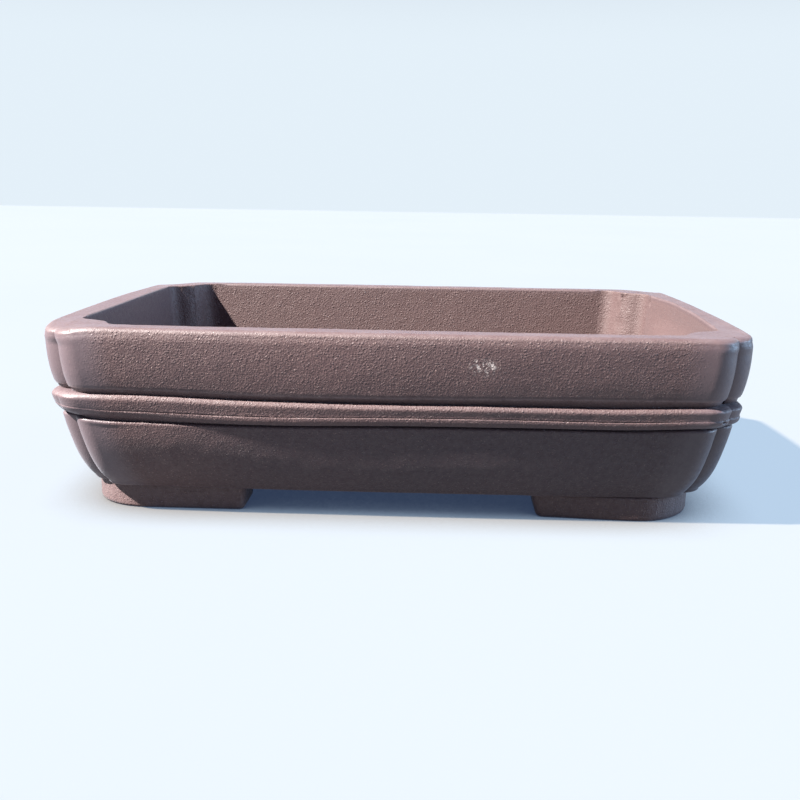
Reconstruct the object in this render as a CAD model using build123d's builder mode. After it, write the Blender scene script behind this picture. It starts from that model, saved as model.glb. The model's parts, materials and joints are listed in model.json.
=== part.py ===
from build123d import *
from math import sqrt
import os

# Rectangular unglazed bonsai pot, slab-built in stoneware.
# The clay pieces are joined with slip and fired together, so nothing moves.
# Millimetres, +Z up, +X along the pot. The origin is the centre of the footprint, on the ground.
# "inset" is how far an outline lies inside the nominal rectangle, LENGTH by WIDTH.

# ---- Overall size ----
LENGTH = 300.0                # corner to corner along X, at the fullest part
WIDTH = 222.0                 # corner to corner along Y
HEIGHT = 82.0                 # ground to rim
SIDE_BOW = 2.0                # the long sides swell this far beyond the nominal rectangle
END_BOW = 2.5                 # the short ends swell this far

# ---- Levels ----
FOOT_HEIGHT = 10.8            # ground to the underside of the body
FLOOR_THICKNESS = 9.0
BAND_BOTTOM = 42.6
BAND_TOP = 52.8
UPPER_BOTTOM = 54.4           # lower edge of the upper wall; a thin groove lies under it
BULGE_LEVEL = 76.5            # where the upper wall is fullest
RIM_SHOULDER = 80.2           # where the rounding of the rim starts
INNER_BEND = 45.0             # where the inner wall face changes slope

# ---- Outer insets ----
BASE_INSET = 16.5             # foot of the lower wall
LOWER_TOP_INSET = 4.9         # top of the lower wall, under the band
BASE_TURN = 4.2               # share of the lower wall's inset gained in the turn near the base
UPPER_BOTTOM_INSET = 2.6      # lower edge of the upper wall
SHOULDER_INSET = 0.35
RIM_INSET = 2.4               # outer edge of the flat rim
SEAT_INSET = 5.5              # vertical seat that the band is luted to
BAND_BOTTOM_INSET = 3.4
BAND_TOP_INSET = 2.4
BAND_EDGE = 0.9               # softened upper edge of the band

# ---- Inner insets ----
RABBET_INSET = 19.5           # edge of the floor slab, lapped by the walls
FLOOR_CORNER_RADIUS = 26.0
FLOOR_LINE_INSET = 21.5       # inner wall face where it meets the floor
BEND_INSET = 14.5
INNER_RIM_INSET = 11.5

# ---- Double-lobed corners ----
WALL_LOBE_RADIUS = 8.7
WALL_LOBE_REACH = 17.2        # from the nominal corner to where a lobe starts
BAND_LOBE_RADIUS = 9.5
BAND_LOBE_REACH = 16.0        # shallower notch, because the band bridges the wall's groove

# ---- Seam coils ----
CORNER_COIL_RADIUS = 17.0
FLOOR_COIL_RADIUS = 8.0
FLOOR_COIL_CROWN = 0.66       # where the round face's crown lies, as a share of the radius along each leg

# ---- Feet ----
FOOT_END_INSET = 16.4         # outer faces of the feet, inside the short ends
FOOT_SIDE_INSET = 18.6        # and inside the long sides
FOOT_SHIFT = -1.6             # all four feet are set slightly towards -X
FOOT_CORNER_RADIUS = 26.0
FOOT_INNER_RADIUS = 5.0
FOOT_LEG = 26.0               # breadth of each leg of the L
FRONT_GAP = 123.0             # between the front feet, at the top
SIDE_GAP = 82.0               # between a front foot and the back foot behind it, at the top
FOOT_END_SLANT = 2.6          # the ends of a leg lean in by this much towards the ground

# ---- Holes in the floor ----
DRAIN_HOLE_RADIUS = 11.0
DRAIN_HOLE_SPACING = 130.0
WIRE_HOLE_RADIUS = 2.5
WIRE_HOLE_SPACING_X = 170.0
WIRE_HOLE_SPACING_Y = 96.0

# ---- Worked out ----
FLOOR_TOP = FOOT_HEIGHT + FLOOR_THICKNESS
CORNERS = {
    "front_left": (-1, -1),
    "front_right": (1, -1),
    "back_left": (-1, 1),
    "back_right": (1, 1),
}


def spread(low, high, count):
    """Evenly spaced levels, both ends included."""
    return [low + (high - low) * i / (count - 1) for i in range(count)]


def lower_wall_inset(level):
    """The lower wall leans in evenly going down, and turns in faster near its base."""
    depth = (BAND_BOTTOM - level) / (BAND_BOTTOM - FOOT_HEIGHT)
    lean = BASE_INSET - LOWER_TOP_INSET - BASE_TURN
    return LOWER_TOP_INSET + lean * depth + BASE_TURN * depth**5


def upper_wall_inset(level):
    """The upper wall swells out to its fullest at the bulge level and draws in again above it."""
    if level < BULGE_LEVEL:
        return UPPER_BOTTOM_INSET * ((BULGE_LEVEL - level) / (BULGE_LEVEL - UPPER_BOTTOM)) ** 2
    return SHOULDER_INSET * ((level - BULGE_LEVEL) / (RIM_SHOULDER - BULGE_LEVEL)) ** 2


def rim_inset(level):
    """The rounding from the shoulder to the flat rim is a quarter of an ellipse."""
    rise = (level - RIM_SHOULDER) / (HEIGHT - RIM_SHOULDER)
    return RIM_INSET - (RIM_INSET - SHOULDER_INSET) * sqrt(1 - rise**2)


def lobed_outline(level, inset, radius, reach):
    """A horizontal face with bowed sides, and two round lobes with a notch between at each corner."""
    half_length = LENGTH / 2 - inset
    half_width = WIDTH / 2 - inset
    total = radius + reach
    notch = (total - sqrt(total**2 - 2 * reach**2)) / 2
    # The lobe on a long side is centred at (reach, radius) from the corner; its middle is at 45 degrees.
    middle = (reach - radius / sqrt(2), radius - radius / sqrt(2))
    with BuildSketch(Plane.XY.offset(level)) as outline:
        with BuildLine():
            for x, y in CORNERS.values():
                start = (x * (half_length - reach), y * half_width)
                crown = (x * (half_length - middle[0]), y * (half_width - middle[1]))
                groove = (x * (half_length - notch), y * (half_width - notch))
                ThreePointArc(start, crown, groove)
                start = (x * half_length, y * (half_width - reach))
                crown = (x * (half_length - middle[1]), y * (half_width - middle[0]))
                ThreePointArc(start, crown, groove)
            for side in (-1, 1):
                left = (reach - half_length, side * half_width)
                right = (half_length - reach, side * half_width)
                ThreePointArc(left, (0, side * (half_width + SIDE_BOW)), right)
                front = (side * half_length, reach - half_width)
                back = (side * half_length, half_width - reach)
                ThreePointArc(front, (side * (half_length + END_BOW), 0), back)
        make_face()
    return outline.sketch


def wall_outline(level, inset):
    return lobed_outline(level, inset, WALL_LOBE_RADIUS, WALL_LOBE_REACH)


def band_outline(level, inset):
    return lobed_outline(level, inset, BAND_LOBE_RADIUS, BAND_LOBE_REACH)


def plain_outline(level, inset):
    """A horizontal rectangle."""
    with BuildSketch(Plane.XY.offset(level)) as outline:
        Rectangle(LENGTH - 2 * inset, WIDTH - 2 * inset)
    return outline.sketch


def floor_outline():
    """The floor slab's plan, with corners rounded enough to stay behind the grooves of the walls."""
    with BuildSketch(Plane.XY.offset(FOOT_HEIGHT)) as outline:
        RectangleRounded(LENGTH - 2 * RABBET_INSET, WIDTH - 2 * RABBET_INSET, FLOOR_CORNER_RADIUS)
    return outline.sketch


def mitre_wedge(side):
    """The plan of one side between its two mitre planes, which cross each corner at 45 degrees."""
    margin = 10.0
    x = LENGTH / 2 + margin
    y = WIDTH / 2 + margin
    corners = {
        "front": [(-x, -y), (x, -y), (0, x - y)],
        "back": [(-x, y), (x, y), (0, y - x)],
        "left": [(-x, -y), (-x, y), (y - x, 0)],
        "right": [(x, -y), (x, y), (x - y, 0)],
    }
    with BuildSketch() as wedge:
        Polygon(*corners[side], align=None)
    return wedge.sketch


def save(part, name):
    part.label = name
    export_step(part, "parts/" + name + ".step")


os.makedirs("parts", exist_ok=True)

# ---- Walls: one ring, cut into four slabs at the corner grooves ----
with BuildPart() as wall_ring:
    lower = [wall_outline(level, lower_wall_inset(level)) for level in spread(FOOT_HEIGHT, BAND_BOTTOM, 7)]
    upper = [wall_outline(level, upper_wall_inset(level)) for level in spread(UPPER_BOTTOM, RIM_SHOULDER, 6)]
    rim = [wall_outline(level, rim_inset(level)) for level in spread(RIM_SHOULDER, HEIGHT, 4)]
    loft(lower, ruled=True)
    extrude(wall_outline(BAND_BOTTOM, SEAT_INSET), amount=UPPER_BOTTOM - BAND_BOTTOM)
    loft(upper, ruled=True)
    loft(rim, ruled=True)
    # Rabbet for the floor slab, then the planting space in two slopes.
    extrude(floor_outline(), amount=FLOOR_THICKNESS, mode=Mode.SUBTRACT)
    floor_line = plain_outline(FLOOR_TOP, FLOOR_LINE_INSET)
    bend_line = plain_outline(INNER_BEND, BEND_INSET)
    rim_line = plain_outline(HEIGHT, INNER_RIM_INSET)
    loft([floor_line, bend_line, rim_line], ruled=True, mode=Mode.SUBTRACT)

for side in ("front", "back", "left", "right"):
    with BuildPart() as wall:
        add(wall_ring.part)
        extrude(mitre_wedge(side), amount=HEIGHT, mode=Mode.INTERSECT)
    save(wall.part, side + "_wall")

# ---- Waist band: four strips luted into the seat, mitred at the corners ----
band_profile = (
    (BAND_BOTTOM, BAND_BOTTOM_INSET),
    (BAND_TOP - BAND_EDGE, BAND_TOP_INSET),
    (BAND_TOP - BAND_EDGE / 3, BAND_TOP_INSET + BAND_EDGE / 3),
    (BAND_TOP, BAND_TOP_INSET + BAND_EDGE),
)
with BuildPart() as band_ring:
    loft([band_outline(level, inset) for level, inset in band_profile], ruled=True)
    extrude(wall_outline(BAND_BOTTOM, SEAT_INSET), amount=BAND_TOP - BAND_BOTTOM, mode=Mode.SUBTRACT)

for side in ("front", "back", "left", "right"):
    with BuildPart() as band:
        add(band_ring.part)
        extrude(mitre_wedge(side), amount=HEIGHT, mode=Mode.INTERSECT)
    save(band.part, side + "_band")

# ---- Floor slab with two drain holes and four holes for tie wires ----
with BuildPart() as floor_slab:
    extrude(floor_outline(), amount=FLOOR_THICKNESS)
    with Locations((0, 0, FLOOR_TOP)):
        with GridLocations(DRAIN_HOLE_SPACING, 0, 2, 1):
            Hole(DRAIN_HOLE_RADIUS)
        with GridLocations(WIRE_HOLE_SPACING_X, WIRE_HOLE_SPACING_Y, 2, 2):
            Hole(WIRE_HOLE_RADIUS)
save(floor_slab.part, "floor_slab")

# ---- Corner coils: quarter-round ridges pressed into the inner corners, floor to rim ----
corner_coils = {}
for corner, (x, y) in CORNERS.items():
    with BuildPart() as corner_coil:
        for low, high in (
            ((FLOOR_TOP, FLOOR_LINE_INSET), (INNER_BEND, BEND_INSET)),
            ((INNER_BEND, BEND_INSET), (HEIGHT, INNER_RIM_INSET)),
        ):
            for level, inset in (low, high):
                centre = Vector(x * (LENGTH / 2 - inset), y * (WIDTH / 2 - inset))
                along = Vector(-x * CORNER_COIL_RADIUS, 0)
                across = Vector(0, -y * CORNER_COIL_RADIUS)
                with BuildSketch(Plane.XY.offset(level)):
                    with BuildLine():
                        Line(centre, centre + along)
                        ThreePointArc(centre + along, centre + (along + across) / sqrt(2), centre + across)
                        Line(centre + across, centre)
                    make_face()
            loft(ruled=True)
    save(corner_coil.part, "corner_coil_" + corner)
    corner_coils[corner] = corner_coil.part

# ---- Floor coils: smaller ridges along the seam of floor and wall, ending at the corner coils ----
wall_slope = (FLOOR_LINE_INSET - BEND_INSET) / (INNER_BEND - FLOOR_TOP)
for side, plane, run, half_span in (
    ("front", Plane.YZ, LENGTH, -WIDTH / 2),
    ("back", Plane.YZ, LENGTH, WIDTH / 2),
    ("left", Plane.XZ, WIDTH, -LENGTH / 2),
    ("right", Plane.XZ, WIDTH, LENGTH / 2),
):
    inward = 1 if half_span < 0 else -1
    seam = Vector(half_span + inward * FLOOR_LINE_INSET, FLOOR_TOP)
    on_floor = seam + Vector(inward * FLOOR_COIL_RADIUS, 0)
    on_wall = seam + Vector(-inward * wall_slope * FLOOR_COIL_RADIUS, FLOOR_COIL_RADIUS)
    crown = seam + Vector(inward * FLOOR_COIL_RADIUS, FLOOR_COIL_RADIUS) * FLOOR_COIL_CROWN
    with BuildPart() as floor_coil:
        with BuildSketch(plane):
            with BuildLine():
                Line(seam, on_floor)
                ThreePointArc(on_floor, crown, on_wall)
                Line(on_wall, seam)
            make_face()
        extrude(amount=run / 2 - FLOOR_LINE_INSET, both=True)
        for coil in corner_coils.values():
            add(coil, mode=Mode.SUBTRACT)
    save(floor_coil.part, "floor_coil_" + side)

# ---- Feet: four L-shaped pads under the corners ----
for corner, (x, y) in CORNERS.items():
    with BuildPart() as foot:
        for level, slant in ((0, FOOT_END_SLANT), (FOOT_HEIGHT, 0)):
            outer_x = LENGTH / 2 - FOOT_END_INSET
            outer_y = WIDTH / 2 - FOOT_SIDE_INSET
            inner_x = outer_x - FOOT_LEG
            inner_y = outer_y - FOOT_LEG
            end_x = FRONT_GAP / 2 + slant
            end_y = SIDE_GAP / 2 + slant
            outline = [
                (outer_x, outer_y),
                (end_x, outer_y),
                (end_x, inner_y),
                (inner_x, inner_y),
                (inner_x, end_y),
                (outer_x, end_y),
            ]
            with BuildSketch(Plane.XY.offset(level)) as pad:
                Polygon(*[(x * px + FOOT_SHIFT, y * py) for px, py in outline], align=None)
                by_reach = pad.vertices().sort_by(lambda v: abs(v.X - FOOT_SHIFT) + abs(v.Y))
                fillet(by_reach[-1], FOOT_CORNER_RADIUS)
                inner_corner = (x * inner_x + FOOT_SHIFT, y * inner_y, level)
                fillet(pad.vertices().sort_by_distance(inner_corner)[0], FOOT_INNER_RADIUS)
        loft(ruled=True)
    save(foot.part, "foot_" + corner)
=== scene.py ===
import json
import math

import bpy
from mathutils import Matrix, Vector, noise


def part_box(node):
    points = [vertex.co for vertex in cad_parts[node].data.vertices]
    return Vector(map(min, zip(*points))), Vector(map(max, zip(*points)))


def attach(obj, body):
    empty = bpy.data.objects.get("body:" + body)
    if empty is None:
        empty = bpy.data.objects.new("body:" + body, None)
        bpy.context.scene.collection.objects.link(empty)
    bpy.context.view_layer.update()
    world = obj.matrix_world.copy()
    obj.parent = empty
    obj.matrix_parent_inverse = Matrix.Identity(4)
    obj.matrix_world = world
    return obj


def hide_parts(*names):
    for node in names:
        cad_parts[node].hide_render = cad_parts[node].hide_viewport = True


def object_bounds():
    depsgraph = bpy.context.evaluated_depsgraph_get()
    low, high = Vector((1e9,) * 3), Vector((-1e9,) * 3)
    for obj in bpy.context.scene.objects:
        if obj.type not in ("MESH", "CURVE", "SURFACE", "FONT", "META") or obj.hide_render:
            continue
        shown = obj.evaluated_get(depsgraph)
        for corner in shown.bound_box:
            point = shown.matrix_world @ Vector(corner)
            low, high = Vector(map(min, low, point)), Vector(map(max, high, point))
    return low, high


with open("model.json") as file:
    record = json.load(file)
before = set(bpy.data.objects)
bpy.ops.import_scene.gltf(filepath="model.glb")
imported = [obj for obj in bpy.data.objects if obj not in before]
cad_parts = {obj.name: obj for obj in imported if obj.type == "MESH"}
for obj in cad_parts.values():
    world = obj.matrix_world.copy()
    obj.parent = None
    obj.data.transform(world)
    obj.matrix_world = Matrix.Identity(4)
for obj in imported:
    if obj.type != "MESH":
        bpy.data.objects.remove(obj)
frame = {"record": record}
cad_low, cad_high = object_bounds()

# A rectangular unglazed bonsai pot. Every CAD node is shown by a closed mesh built here in the same place,
# with the handmade surface that the plain CAD solid doesn't have. Metres, in the frame of the CAD model.

MM = 0.001
BODY = "root"

# ---- Levels and sizes, read from the CAD nodes ----
COIL_LOW, COIL_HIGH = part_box("corner_coil_front_left")
SLAB_LOW, SLAB_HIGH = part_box("floor_slab")
BAND_LOW, BAND_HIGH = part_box("front_band")
RIM = cad_high.z
UNDERSIDE = SLAB_LOW.z
FLOOR = SLAB_HIGH.z
BAND_BOTTOM = BAND_LOW.z
BAND_TOP = BAND_HIGH.z

# ---- Shape of the walls, as insets from the nominal rectangle ----
SIDE_BOW = 2.0 * MM                 # how far the long sides swell beyond it
END_BOW = 2.5 * MM
HALF_LENGTH = cad_high.x - END_BOW
HALF_WIDTH = cad_high.y - SIDE_BOW
BASE_INSET = 16.5 * MM
BASE_TURN = 4.2 * MM
LOWER_TOP_INSET = 4.9 * MM
SEAT_INSET = 5.5 * MM
UPPER_BOTTOM = BAND_TOP + 1.6 * MM
UPPER_BOTTOM_INSET = 2.6 * MM
BULGE_LEVEL = 76.5 * MM
RIM_SHOULDER = 79.4 * MM
SHOULDER_INSET = 0.5 * MM
RIM_INSET = 3.3 * MM
INNER_RIM_INSET = COIL_LOW.x + HALF_LENGTH
RABBET_INSET = SLAB_LOW.x + HALF_LENGTH
RABBET_RADIUS = 26.0 * MM
FLOOR_LINE_INSET = 21.5 * MM
BEND_INSET = 14.5 * MM
BEND_LEVEL = 45.0 * MM
INNER_ROUND = 1.3 * MM              # rounding of the rim's inner edge
COIL_ROUND = 0.6 * MM               # rounding of a corner coil's upper edge
CORNER_SPAN = 26.0 * MM             # length of inner wall that belongs to the stations of a lobe

# ---- Lobes of the outer corners: radius, and reach from the corner to where the lobe starts ----
WALL_LOBE = (8.7 * MM, 17.2 * MM)
UPPER_LOBE = (10.8 * MM, 19.2 * MM)
# The grooves grow shallower in the rim's edge.
RIM_LOBES = {
    "front_left": (11.6 * MM, 17.2 * MM),
    "front_right": (11.4 * MM, 18.4 * MM),
    "back_left": (12.0 * MM, 17.0 * MM),
    "back_right": (12.0 * MM, 17.0 * MM),
}
# The band's corners were pressed flat at the front left and left deeper at the front right.
BAND_LOBES = {
    "front_left": (12.6 * MM, 15.6 * MM),
    "front_right": (11.5 * MM, 17.2 * MM),
    "back_left": (9.5 * MM, 16.0 * MM),
    "back_right": (9.5 * MM, 16.0 * MM),
}

# ---- Mesh density ----
STRAIGHT_STEP = 0.85 * MM
LOBE_STEPS = 30
ROW_STEP = 0.7 * MM

# A side is (turn into place, half its length, its distance from the middle, how far it bows out).
SIDES = {
    "front": (Matrix.Rotation(0, 4, "Z"), HALF_LENGTH, HALF_WIDTH, SIDE_BOW),
    "right": (Matrix.Rotation(math.pi / 2, 4, "Z"), HALF_WIDTH, HALF_LENGTH, END_BOW),
    "back": (Matrix.Rotation(math.pi, 4, "Z"), HALF_LENGTH, HALF_WIDTH, SIDE_BOW),
    "left": (Matrix.Rotation(-math.pi / 2, 4, "Z"), HALF_WIDTH, HALF_LENGTH, END_BOW),
}
# The corners at the start and the end of each side's stations.
SIDE_ENDS = {
    "front": ("front_left", "front_right"),
    "right": ("front_right", "back_right"),
    "back": ("back_right", "back_left"),
    "left": ("back_left", "front_left"),
}
CORNERS = {
    "front_left": (-1, -1),
    "front_right": (1, -1),
    "back_left": (-1, 1),
    "back_right": (1, 1),
}


# ===== small helpers =====

def mix(a, b, t):
    return a + (b - a) * t


def smooth(low, high, value):
    """0 below low, 1 above high, and a smooth step between."""
    t = min(1.0, max(0.0, (value - low) / (high - low)))
    return t * t * (3 - 2 * t)


def bump_at(value, centre, spread):
    """A bell of height 1 at the centre."""
    return math.exp(-(((value - centre) / spread) ** 2))


def wave(point, size, seed):
    """Smooth noise from -1 to 1 whose lumps are about that size."""
    return noise.noise(Vector(point) / size + Vector((seed * 7.31, seed * 3.17, seed * 5.71)))


def steps(low, high, step):
    """Evenly spaced values from low to high, both included, at most a step apart."""
    count = max(1, math.ceil(abs(high - low) / step))
    return [mix(low, high, i / count) for i in range(count + 1)]


def arc(centre, radii, start, end, count):
    """Points on an ellipse's arc in the section plane, angles in degrees, as (inset, level)."""
    found = []
    for i in range(count + 1):
        angle = math.radians(mix(start, end, i / count))
        found.append((centre[0] + radii[0] * math.cos(angle), centre[1] + radii[1] * math.sin(angle)))
    return found


# ===== the handmade unevenness =====

# How far the rim was rubbed down where the two lobes of a corner meet.
RIM_DROOP = {"front_left": 1.9 * MM, "front_right": 0.2 * MM, "back_left": 1.0 * MM, "back_right": 0.5 * MM}
# How far the right wall's inner face was pushed outwards under the rim.
INNER_PUSH = 5.0 * MM


def warp(point):
    """The slow unevenness of the whole pot. It moves all pieces together, so they stay joined."""
    x, y, z = point
    free = smooth(0, 12 * MM, z)
    dx = 0.5 * MM * wave(point, 90 * MM, 1) * free
    dy = 0.5 * MM * wave(point, 90 * MM, 2) * free
    # The rim sags a little at the back left corner and dips and rises along its length.
    high = smooth(55 * MM, RIM, z)
    back_corner = smooth(0.3, 1.0, y / HALF_WIDTH) * smooth(0.55, 1.0, -x / HALF_LENGTH)
    dip = 0.15 * MM * (1 + wave((x, y, 0), 55 * MM, 3)) + 0.5 * MM * back_corner
    # Where the lobes meet, the rim was rubbed down with a thumb.
    corner = ("front" if y < 0 else "back") + ("_left" if x < 0 else "_right")
    near_corner = 1 - smooth(7 * MM, 25 * MM, from_corner(point, corner))
    dip += RIM_DROOP[corner] * near_corner * smooth(0.3, 1, high)
    dz = 0.25 * MM * wave(point, 70 * MM, 4) * free * (1 - high) - dip * high
    # The push on the right wall is strongest behind the middle and dies out downwards and outwards.
    along = smooth(-95 * MM, 5 * MM, y) * (1 - smooth(30 * MM, 82 * MM, y))
    inner = smooth(110 * MM, 130 * MM, x) * (1 - smooth(139 * MM, 148.5 * MM, x))
    dx += INNER_PUSH * along * inner * smooth(54 * MM, 74 * MM, z)
    # The rim's outer edge was left crisper along the right end.
    crisp = smooth(145.5 * MM, 149 * MM, x) * bump_at(z, RIM - 0.8 * MM, 1.3 * MM)
    dx += 0.2 * MM * crisp
    dz += 0.6 * MM * crisp
    return Vector((x + dx, y + dy, z + dz))


def from_corner(point, corner):
    """Distance in plan from a corner of the nominal rectangle."""
    sign_x, sign_y = CORNERS[corner]
    return math.hypot(point[0] - sign_x * HALF_LENGTH, point[1] - sign_y * HALF_WIDTH)


# How an edge climbs towards each corner, in mm and in the order of CORNERS: (height, distance of full height,
# distance where it has died out).
GROOVE_RISE = ((1.3, 40, 95), (1.05, 40, 150), (0.8, 30, 110), (0.5, 30, 90))
BAND_TOP_RISE = ((1.2, 40, 95), (0.5, 20, 60), (0.7, 30, 110), (0.4, 30, 90))
BAND_FOOT_RISE = ((1.6, 8, 32), (1.3, 15, 60), (0.9, 15, 70), (0.9, 10, 50))


def corner_rise(point, table):
    """How much an edge climbs at a point, added up over the corners."""
    rise = 0.0
    for corner, (height, full, gone) in zip(CORNERS, table):
        rise += height * MM * (1 - smooth(full * MM, gone * MM, from_corner(point, corner)))
    return rise


def band_top_rise(point):
    """How the band's upper edge climbs at the corners and sags along the front."""
    x, y, _ = point
    front = smooth(0.7, 0.9, -y / HALF_WIDTH)
    sag = bump_at(x, 0, 48 * MM) + bump_at(x, 75 * MM, 28 * MM)
    return corner_rise(point, BAND_TOP_RISE) - 0.55 * MM * front * sag


def band_foot_rise(point):
    """How the band's lower edge climbs at the corners and droops left of the middle."""
    x, y, _ = point
    front = smooth(0.7, 0.9, -y / HALF_WIDTH)
    return corner_rise(point, BAND_FOOT_RISE) - 1.1 * MM * front * bump_at(x, -62 * MM, 48 * MM)


def settled(point):
    """The warped point, kept inside the CAD model's box."""
    return Vector([min(high, max(low, v)) for low, v, high in zip(cad_low, warp(point), cad_high)])


# ===== mesh making =====

def new_mesh(name, verts, faces):
    mesh = bpy.data.meshes.new(name)
    mesh.from_pydata([tuple(v) for v in verts], [], faces)
    return mesh


def new_object(name, data):
    """A new object in the scene."""
    made = bpy.data.objects.new(name, data)
    bpy.context.scene.collection.objects.link(made)
    return made


def make_piece(node, verts, faces, fields, sharp=52):
    """A closed mesh that stands for a CAD node. fields are the named values that the material reads, a list
    per vertex or one for all. Edges that turn by more than sharp degrees stay sharp."""
    name = node + "_clay"
    mesh = new_mesh(name, verts, faces)
    mesh.validate()
    for key, values in fields.items():
        layer = mesh.attributes.new(key, "FLOAT", "POINT")
        layer.data.foreach_set("value", values if isinstance(values, list) else [values] * len(verts))
    mesh.polygons.foreach_set("use_smooth", [True] * len(mesh.polygons))
    mesh.set_sharp_from_angle(angle=math.radians(sharp))
    piece = new_object(name, mesh)
    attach(piece, BODY)
    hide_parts(node)
    return piece


def loft_faces(rings):
    """Quads between neighbouring closed rings of points, with a cap on each end."""
    count, size = len(rings), len(rings[0])
    faces = []
    for i in range(count - 1):
        for k in range(size):
            after = (k + 1) % size
            faces.append((i * size + k, i * size + after, (i + 1) * size + after, (i + 1) * size + k))
    faces.append(tuple(range(size - 1, -1, -1)))
    faces.append(tuple((count - 1) * size + k for k in range(size)))
    return faces


# ===== stations along a side =====

def stations(half):
    """Places along one side, from groove to groove: (place, angle share). Place is -1 to 1 on the straight,
    and the share runs from 0 where a lobe starts to 1 in the groove."""
    found = [(-1.0, 1 - i / LOBE_STEPS) for i in range(LOBE_STEPS)]
    straight = half - WALL_LOBE[1]
    count = math.ceil(2 * straight / STRAIGHT_STEP)
    found += [(mix(-1.0, 1.0, i / count), 0.0) for i in range(count + 1)]
    found += [(1.0, (i + 1) / LOBE_STEPS) for i in range(LOBE_STEPS)]
    return found


def outer_point(station, half, bow, inset, lobe):
    """(distance along the side, depth) of the lobed outline at that inset."""
    place, share = station
    radius, reach = lobe
    if share == 0:
        return place * (half - inset - reach), inset - bow * (1 - place * place)
    groove = math.pi / 4 + math.asin((reach - radius) / (radius * math.sqrt(2)))
    angle = share * groove
    along = half - inset - reach + radius * math.sin(angle)
    return place * along, inset + radius * (1 - math.cos(angle))


def inner_point(station, half, inset, radius):
    """(distance along the side, depth) of the inner outline, a rectangle with rounded corners."""
    place, share = station
    angle = share * math.pi / 4
    along = half - inset - radius * (1 - math.sin(angle)) - (1 - share) * (CORNER_SPAN - radius)
    if share == 0:
        along = place * (half - inset - CORNER_SPAN)
        return along, inset
    return place * along, inset + radius * (1 - math.cos(angle))


# ===== sections =====
# A section row is (inset, level, lobe, blend, kind). Lobe None stands for the upper wall's lobe there.
# Blend 0 lies on the lobed outer outline and 1 on the inner one. Kind says which treatment the surface gets.

def lower_wall_inset(level):
    depth = (BAND_BOTTOM - level) / (BAND_BOTTOM - UNDERSIDE)
    lean = BASE_INSET - LOWER_TOP_INSET - BASE_TURN
    return LOWER_TOP_INSET + lean * depth + BASE_TURN * depth**5


def upper_wall_inset(level):
    if level < BULGE_LEVEL:
        return UPPER_BOTTOM_INSET * ((BULGE_LEVEL - level) / (BULGE_LEVEL - UPPER_BOTTOM)) ** 2
    return SHOULDER_INSET * ((level - BULGE_LEVEL) / (RIM_SHOULDER - BULGE_LEVEL)) ** 2


def inner_inset(level):
    """Inset of the inner wall face at a level."""
    if level > BEND_LEVEL:
        return mix(INNER_RIM_INSET, BEND_INSET, (RIM - level) / (RIM - BEND_LEVEL))
    return mix(BEND_INSET, FLOOR_LINE_INSET, (BEND_LEVEL - level) / (BEND_LEVEL - FLOOR))


def upper_lobe(level, corner):
    """The lobe of the upper wall at a level. Its groove runs out in the rim's rounded edge."""
    share = smooth(74 * MM, 81.8 * MM, level)
    end = RIM_LOBES[corner]
    return (mix(UPPER_LOBE[0], end[0], share), mix(UPPER_LOBE[1], end[1], share))


def outer_rows(points, lobe, kind="outer"):
    """Section rows on the outer outline, from (inset, level) points."""
    return [(inset, level, lobe, 0, kind) for inset, level in points]


def wall_rows():
    """The closed section of a wall, from the rabbet, round the outside and back down the inside."""
    base_round = 1.5 * MM
    shoulder = (1.4 * MM, 1.2 * MM)
    lip = 0.7 * MM
    rows = []
    # Underside, from the rabbet outwards, then the rounded base edge.
    for t in (0.0, 0.35, 0.7):
        rows.append((mix(RABBET_INSET, BASE_INSET + base_round, t), UNDERSIDE, WALL_LOBE, 1 - t, "under"))
    low = UNDERSIDE + base_round
    start = lower_wall_inset(low)
    rows += outer_rows(arc((start + base_round, low), (base_round, base_round), 270, 180, 5), WALL_LOBE)
    # Lower wall up to its shoulder under the band.
    high = BAND_BOTTOM - shoulder[0]
    levels = steps(low, high, ROW_STEP)[1:]
    rows += outer_rows([(lower_wall_inset(level), level) for level in levels], WALL_LOBE)
    top = lower_wall_inset(high)
    rows += outer_rows(arc((top + shoulder[0], high), shoulder, 180, 90, 4)[1:], WALL_LOBE)
    # Seat behind the band, and the floor of the thin groove above it.
    seat = [(SEAT_INSET + 1.0 * MM, BAND_BOTTOM + 0.6 * MM)]
    seat += [(SEAT_INSET, level) for level in steps(BAND_BOTTOM + 2 * MM, BAND_TOP - 1 * MM, 3 * MM)]
    seat.append((SEAT_INSET - 1.2 * MM, BAND_TOP + 0.4 * MM))
    rows += outer_rows(seat, WALL_LOBE, "seat")
    # Small lip at the lower edge of the upper wall.
    rows += outer_rows(arc((UPPER_BOTTOM_INSET + lip, UPPER_BOTTOM + lip), (lip, lip), 270, 180, 4), None)
    levels = steps(UPPER_BOTTOM + lip, RIM_SHOULDER, ROW_STEP)[1:]
    rows += outer_rows([(upper_wall_inset(level), level) for level in levels], None)
    # Rounded outer edge of the rim, the flat rim, and its inner edge.
    radii = (RIM_INSET - SHOULDER_INSET, RIM - RIM_SHOULDER)
    rows += outer_rows(arc((RIM_INSET, RIM_SHOULDER), radii, 180, 90, 8)[1:], None, "rim")
    for t in steps(0, 1, 0.1)[1:-1]:
        rows.append((mix(RIM_INSET, INNER_RIM_INSET, t), RIM, None, t, "rim"))
    for i in range(7):
        rows.append((INNER_RIM_INSET, RIM, None, 1, "edge%d" % i))
    # Inner face in two slopes, then the ledge over the floor slab's edge.
    levels = steps(RIM - INNER_ROUND, BEND_LEVEL, 1.2 * MM)[1:] + steps(BEND_LEVEL, FLOOR, 1.6 * MM)[1:]
    rows += [(inner_inset(level), level, WALL_LOBE, 1, "inner") for level in levels]
    rows.append((RABBET_INSET, FLOOR, WALL_LOBE, 1, "rabbet"))
    rows.append((RABBET_INSET, mix(FLOOR, UNDERSIDE, 0.5), WALL_LOBE, 1, "rabbet"))
    return rows


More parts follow.
